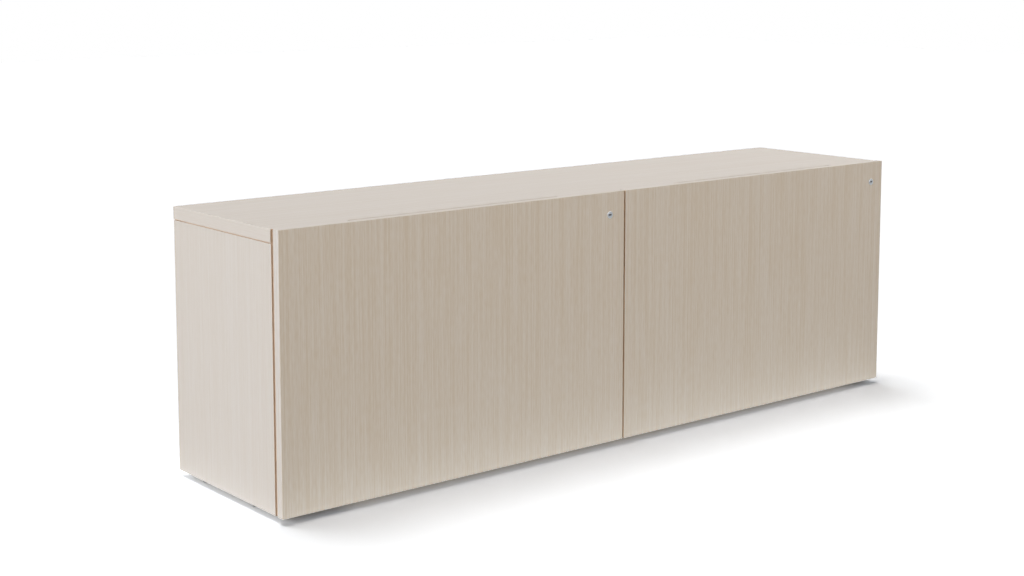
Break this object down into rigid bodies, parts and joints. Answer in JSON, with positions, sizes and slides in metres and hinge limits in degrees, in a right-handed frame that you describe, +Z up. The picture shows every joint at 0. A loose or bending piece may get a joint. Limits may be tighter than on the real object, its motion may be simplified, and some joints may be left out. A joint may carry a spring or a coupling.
{
  "type": "office credenza",
  "caption": "Low office credenza in pale wood-grain laminate, with wide lockable lateral filing drawers on telescopic slides behind plain overlay fronts.",
  "frame": {"origin": "on the floor, under the middle of the cabinet's overall box", "axes": "+X along the length to the user's right, -Y out of the drawer fronts, +Z up"},
  "size_m": [1.829, 0.4312, 0.5925],
  "materials": {
    "laminate": "satin whitened wood-grain laminate",
    "box_wood": "matt pale drawer board",
    "zinc_steel": "zinc-plated sheet steel",
    "lock_metal": "satin nickel",
    "dark_steel": "black painted steel",
    "ball_steel": "bright steel",
    "foot_plastic": "dark moulded plastic"
  },
  "bodies": {
    "cabinet": {"top_panel": "laminate", "left_end_panel": "laminate", "right_end_panel": "laminate", "centre_partition": "laminate", "bottom_panel": "laminate", "back_panel": "laminate", "left_counterweight": "dark_steel", "right_counterweight": "dark_steel", "left_lock_strike": "zinc_steel", "right_lock_strike": "zinc_steel", "left_drawer_left_cabinet_rail": "zinc_steel", "left_drawer_right_cabinet_rail": "zinc_steel", "right_drawer_left_cabinet_rail": "zinc_steel", "right_drawer_right_cabinet_rail": "zinc_steel"},
    "left_drawer": {"left_drawer_front": "laminate", "left_drawer_inner_front": "box_wood", "left_drawer_back": "box_wood", "left_drawer_left_side": "box_wood", "left_drawer_right_side": "box_wood", "left_drawer_bottom": "box_wood", "left_drawer_front_file_rail": "zinc_steel", "left_drawer_rear_file_rail": "zinc_steel", "left_drawer_left_drawer_rail": "zinc_steel", "left_drawer_right_drawer_rail": "zinc_steel", "left_lock_housing": "lock_metal", "left_lock_nut": "zinc_steel"},
    "right_drawer": {"right_drawer_front": "laminate", "right_drawer_inner_front": "box_wood", "right_drawer_back": "box_wood", "right_drawer_left_side": "box_wood", "right_drawer_right_side": "box_wood", "right_drawer_bottom": "box_wood", "right_drawer_front_file_rail": "zinc_steel", "right_drawer_rear_file_rail": "zinc_steel", "right_drawer_left_drawer_rail": "zinc_steel", "right_drawer_right_drawer_rail": "zinc_steel", "right_lock_housing": "lock_metal", "right_lock_nut": "zinc_steel"},
    "left_middle_rails": {"left_drawer_left_middle_rail": "zinc_steel", "left_drawer_right_middle_rail": "zinc_steel"},
    "right_middle_rails": {"right_drawer_left_middle_rail": "zinc_steel", "right_drawer_right_middle_rail": "zinc_steel"},
    "left_outer_cages": {"left_drawer_left_outer_ball_cage": "ball_steel", "left_drawer_right_outer_ball_cage": "ball_steel"},
    "right_outer_cages": {"right_drawer_left_outer_ball_cage": "ball_steel", "right_drawer_right_outer_ball_cage": "ball_steel"},
    "left_inner_cages": {"left_drawer_left_inner_ball_cage": "ball_steel", "left_drawer_right_inner_ball_cage": "ball_steel"},
    "right_inner_cages": {"right_drawer_left_inner_ball_cage": "ball_steel", "right_drawer_right_inner_ball_cage": "ball_steel"},
    "left_lock": {"left_lock_plug": "lock_metal", "left_lock_cam": "zinc_steel"},
    "right_lock": {"right_lock_plug": "lock_metal", "right_lock_cam": "zinc_steel"},
    "left_front_foot": {"left_front_glide": "foot_plastic"},
    "left_rear_foot": {"left_rear_glide": "foot_plastic"},
    "centre_front_foot": {"centre_front_glide": "foot_plastic"},
    "centre_rear_foot": {"centre_rear_glide": "foot_plastic"},
    "right_front_foot": {"right_front_glide": "foot_plastic"},
    "right_rear_foot": {"right_rear_glide": "foot_plastic"}
  },
  "joints": [
    {"name": "left_drawer_slide", "type": "slide", "parent": "cabinet", "child": "left_drawer", "axis": [0, -1, 0], "range_m": [0, 0.35]},
    {"name": "right_drawer_slide", "type": "slide", "parent": "cabinet", "child": "right_drawer", "axis": [0, -1, 0], "range_m": [0, 0.35]},
    {"name": "left_middle_slide", "type": "slide", "parent": "cabinet", "child": "left_middle_rails", "axis": [0, -1, 0], "range_m": [0, 0.175]},
    {"name": "right_middle_slide", "type": "slide", "parent": "cabinet", "child": "right_middle_rails", "axis": [0, -1, 0], "range_m": [0, 0.175]},
    {"name": "left_outer_cage_slide", "type": "slide", "parent": "cabinet", "child": "left_outer_cages", "axis": [0, -1, 0], "range_m": [0, 0.0875]},
    {"name": "right_outer_cage_slide", "type": "slide", "parent": "cabinet", "child": "right_outer_cages", "axis": [0, -1, 0], "range_m": [0, 0.0875]},
    {"name": "left_inner_cage_slide", "type": "slide", "parent": "cabinet", "child": "left_inner_cages", "axis": [0, -1, 0], "range_m": [0, 0.2625]},
    {"name": "right_inner_cage_slide", "type": "slide", "parent": "cabinet", "child": "right_inner_cages", "axis": [0, -1, 0], "range_m": [0, 0.2625]},
    {"name": "left_lock_turn", "type": "hinge", "parent": "left_drawer", "child": "left_lock", "pos_m": [-0.046, -0.2144, 0.5405], "axis": [0, 1, 0], "range_deg": [0, 90]},
    {"name": "right_lock_turn", "type": "hinge", "parent": "right_drawer", "child": "right_lock", "pos_m": [0.8705, -0.2144, 0.5405], "axis": [0, 1, 0], "range_deg": [0, 90]},
    {"name": "left_front_foot_screw", "type": "slide", "parent": "cabinet", "child": "left_front_foot", "axis": [0, 0, 1], "range_m": [-0.012, 0]},
    {"name": "left_rear_foot_screw", "type": "slide", "parent": "cabinet", "child": "left_rear_foot", "axis": [0, 0, 1], "range_m": [-0.012, 0]},
    {"name": "centre_front_foot_screw", "type": "slide", "parent": "cabinet", "child": "centre_front_foot", "axis": [0, 0, 1], "range_m": [-0.012, 0]},
    {"name": "centre_rear_foot_screw", "type": "slide", "parent": "cabinet", "child": "centre_rear_foot", "axis": [0, 0, 1], "range_m": [-0.012, 0]},
    {"name": "right_front_foot_screw", "type": "slide", "parent": "cabinet", "child": "right_front_foot", "axis": [0, 0, 1], "range_m": [-0.012, 0]},
    {"name": "right_rear_foot_screw", "type": "slide", "parent": "cabinet", "child": "right_rear_foot", "axis": [0, 0, 1], "range_m": [-0.012, 0]}
  ],
  "couplings": [
    {"joint": "left_middle_slide", "follows": "left_drawer_slide", "ratio": 0.5},
    {"joint": "right_middle_slide", "follows": "right_drawer_slide", "ratio": 0.5},
    {"joint": "left_outer_cage_slide", "follows": "left_drawer_slide", "ratio": 0.25},
    {"joint": "right_outer_cage_slide", "follows": "right_drawer_slide", "ratio": 0.25},
    {"joint": "left_inner_cage_slide", "follows": "left_drawer_slide", "ratio": 0.75},
    {"joint": "right_inner_cage_slide", "follows": "right_drawer_slide", "ratio": 0.75}
  ]
}
